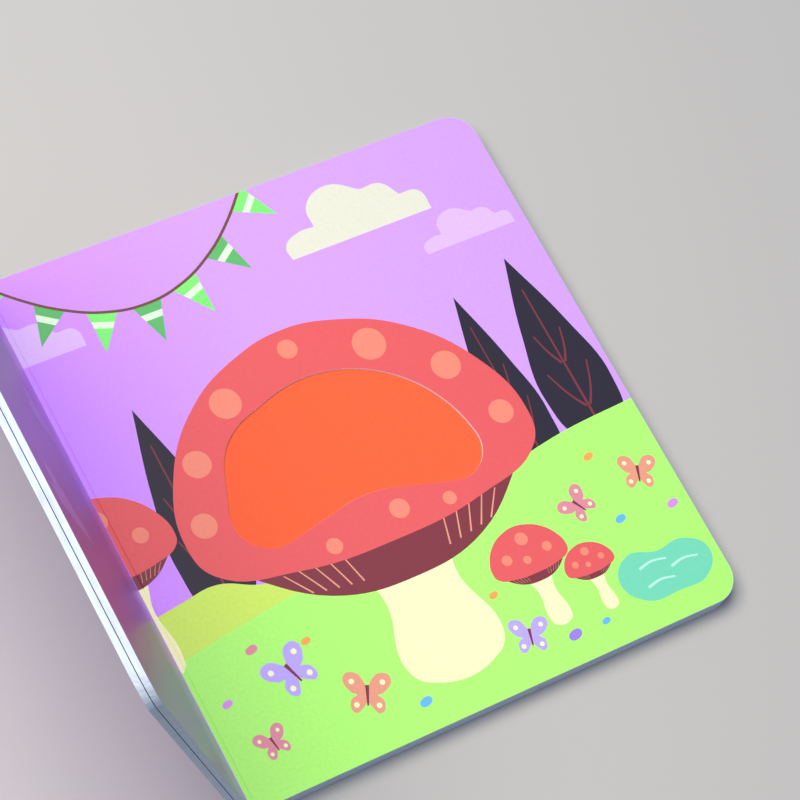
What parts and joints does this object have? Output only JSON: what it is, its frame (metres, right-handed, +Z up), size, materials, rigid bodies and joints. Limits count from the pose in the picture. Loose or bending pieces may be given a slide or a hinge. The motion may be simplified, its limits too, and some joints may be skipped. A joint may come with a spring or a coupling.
{
  "type": "board book",
  "caption": "Open board book with rounded fore-edge corners, a standing front cover and a die-cut window over a touch patch.",
  "frame": {"origin": "middle of the back cover's underside, where the book rests on the table", "axes": "+X from the fold to the fore-edge of the lying half, +Y from the foot of the page to its head, +Z up"},
  "size_m": [0.2316, 0.18, 0.1672],
  "materials": {
    "cover_board": "gloss laminated print on board",
    "leaf_board": "gloss laminated print on white board",
    "patch_felt": "smooth short-nap felt",
    "printed_wrap": "gloss laminated print"
  },
  "bodies": {
    "pages": {"page_block": "leaf_board", "touch_patch": "patch_felt", "spine": "printed_wrap"},
    "front": {"front_cover": "cover_board", "turned_leaf": "leaf_board"},
    "back": {"back_cover": "cover_board"}
  },
  "joints": [
    {"name": "front_cover_hinge", "type": "hinge", "parent": "pages", "child": "front", "pos_m": [-0.085, 0, 0.0075], "axis": [0, -1, 0], "range_deg": [-110, 70]},
    {"name": "back_cover_hinge", "type": "hinge", "parent": "pages", "child": "back", "pos_m": [-0.085, 0, 0.0018], "axis": [0, 1, 0], "range_deg": [0, 180]}
  ]
}
